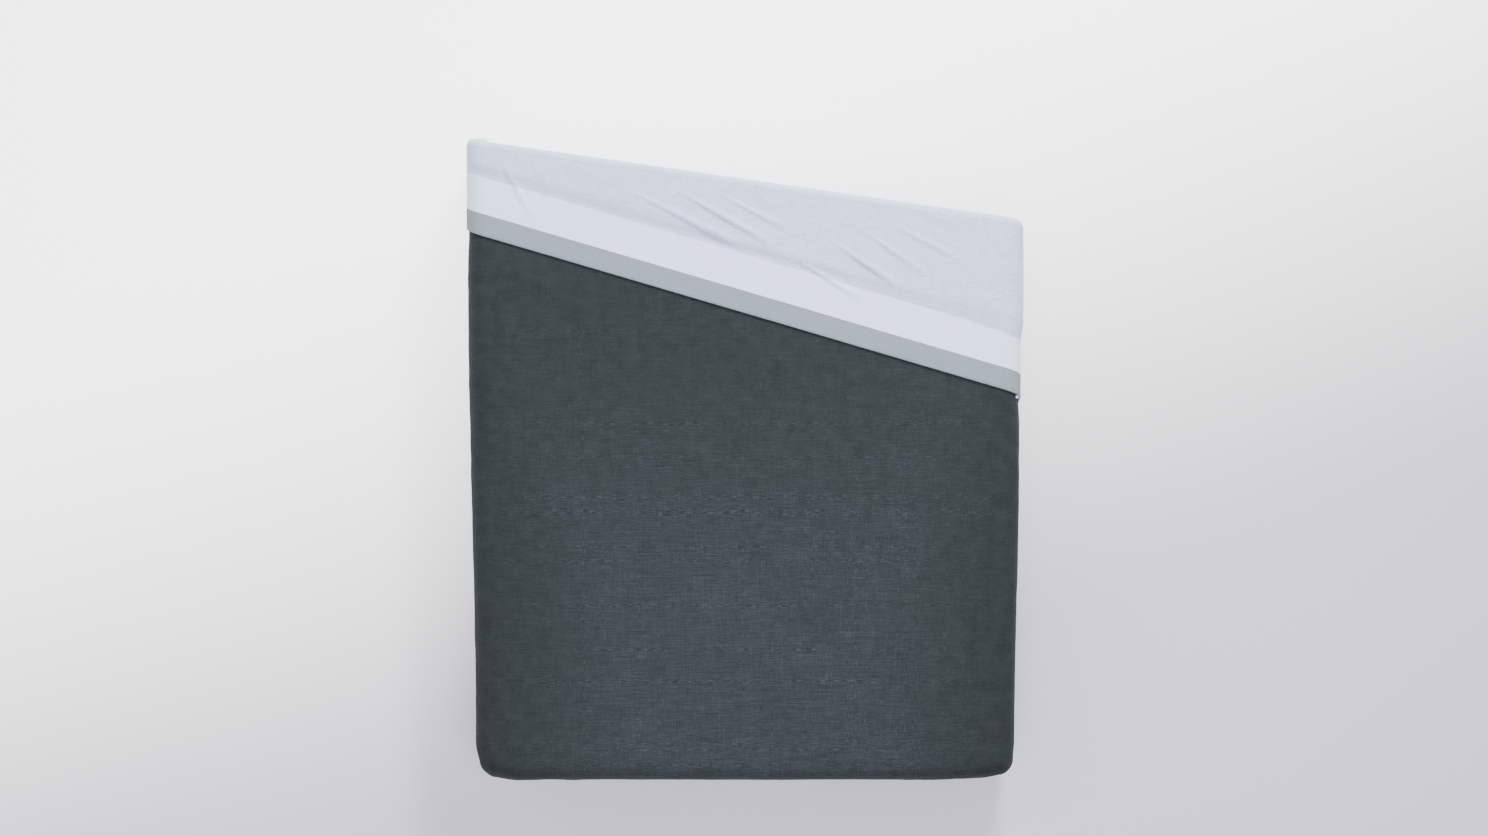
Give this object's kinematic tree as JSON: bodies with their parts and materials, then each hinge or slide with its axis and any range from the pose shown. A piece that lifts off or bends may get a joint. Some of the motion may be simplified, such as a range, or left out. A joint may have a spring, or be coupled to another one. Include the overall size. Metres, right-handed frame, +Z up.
{
  "type": "duvet",
  "caption": "Double duvet draped over a bed: linen cover, chambered insert, zip at the foot, and a head end turned back on a slant to show a white hem and a grey border.",
  "frame": {"origin": "middle of the flat underside that rests on the mattress, level with the mattress top", "axes": "+Z up, +Y towards the head of the bed, +X to the right as seen from the foot"},
  "size_m": [1.6275, 1.9004, 0.3944],
  "materials": {
    "slate_linen": "washed slub linen, slate blue, matte",
    "white_cotton": "plain-weave cotton, white, matte",
    "white_hem": "plain-weave cotton, double, white, matte",
    "grey_border": "plain-weave cotton, light grey, matte",
    "insert_ticking": "downproof cotton cambric, off-white",
    "fibre_fill": "carded fibre fill, white",
    "zip_tape": "woven polyester tape and coil, slate",
    "zip_metal": "satin nickel-plated zinc"
  },
  "bodies": {
    "body": {"care_label": "white_cotton", "cover_face_body": "slate_linen", "cover_reverse_body": "white_cotton", "fill_chamber_1_1": "fibre_fill", "fill_chamber_1_2": "fibre_fill", "fill_chamber_1_3": "fibre_fill", "fill_chamber_2_1": "fibre_fill", "fill_chamber_2_2": "fibre_fill", "fill_chamber_2_3": "fibre_fill", "fill_chamber_3_1": "fibre_fill", "fill_chamber_3_2": "fibre_fill", "fill_chamber_3_3": "fibre_fill", "fill_chamber_4_1": "fibre_fill", "fill_chamber_4_2": "fibre_fill", "fill_chamber_4_3": "fibre_fill", "fill_corner_left": "fibre_fill", "fill_corner_right": "fibre_fill", "fill_foot": "fibre_fill", "fill_left": "fibre_fill", "fill_right": "fibre_fill", "insert_loop_foot_left": "insert_ticking", "insert_loop_foot_right": "insert_ticking", "side_seam_left": "slate_linen", "side_seam_right": "slate_linen", "ticking_lower_body": "insert_ticking", "ticking_upper_body": "insert_ticking", "tie_foot_left": "white_cotton", "tie_foot_right": "white_cotton", "zip_coil_face": "zip_tape", "zip_coil_reverse": "zip_tape", "zip_stop_closed": "zip_metal", "zip_stop_open": "zip_metal", "zip_tape_face": "zip_tape", "zip_tape_reverse": "zip_tape"},
    "turnback": {"border_band_turnback": "grey_border", "cover_face_turnback": "slate_linen", "cover_reverse_turnback": "white_cotton", "fill_turnback": "fibre_fill", "hem_facing_turnback": "white_hem", "ticking_lower_turnback": "insert_ticking", "ticking_upper_turnback": "insert_ticking"},
    "turnback_left": {"border_band_turnback_left": "grey_border", "cover_face_turnback_left": "slate_linen", "cover_reverse_turnback_left": "white_cotton", "hem_facing_turnback_left": "white_hem", "tie_head_left": "white_cotton", "turnback_seam_left": "white_cotton"},
    "turnback_right": {"border_band_turnback_right": "grey_border", "cover_face_turnback_right": "slate_linen", "cover_reverse_turnback_right": "white_cotton", "fill_turnback_right": "fibre_fill", "hem_facing_turnback_right": "white_hem", "ticking_lower_turnback_right": "insert_ticking", "ticking_upper_turnback_right": "insert_ticking", "tie_head_right": "white_cotton", "turnback_seam_right": "white_cotton"},
    "zip_slider": {"zip_slider": "zip_metal"},
    "zip_pull": {"zip_pull": "zip_metal"}
  },
  "joints": [
    {"name": "turnback_fold", "type": "hinge", "parent": "body", "child": "turnback", "pos_m": [0, 0.6725, 0.02855], "axis": [-0.9897, 0.1431, 0], "range_deg": [0, 180]},
    {"name": "turnback_left_crease", "type": "hinge", "parent": "turnback", "child": "turnback_left", "pos_m": [-0.8176, 0.6725, 0.01785], "axis": [0, 1, 0], "range_deg": [0, 180]},
    {"name": "turnback_right_crease", "type": "hinge", "parent": "turnback", "child": "turnback_right", "pos_m": [0.8176, 0.6725, 0.01785], "axis": [0, -1, 0], "range_deg": [0, 180]},
    {"name": "zip_travel", "type": "slide", "parent": "body", "child": "zip_slider", "axis": [1, 0, 0], "range_m": [-1.08, 0]},
    {"name": "zip_pull_swing", "type": "hinge", "parent": "zip_slider", "child": "zip_pull", "pos_m": [0.5406, -1.05265, -0.2189], "axis": [0, 1, 0], "range_deg": [-80, 80]}
  ],
  "couplings": [
    {"joint": "turnback_left_crease", "follows": "turnback_fold", "ratio": 1},
    {"joint": "turnback_right_crease", "follows": "turnback_fold", "ratio": 1}
  ]
}
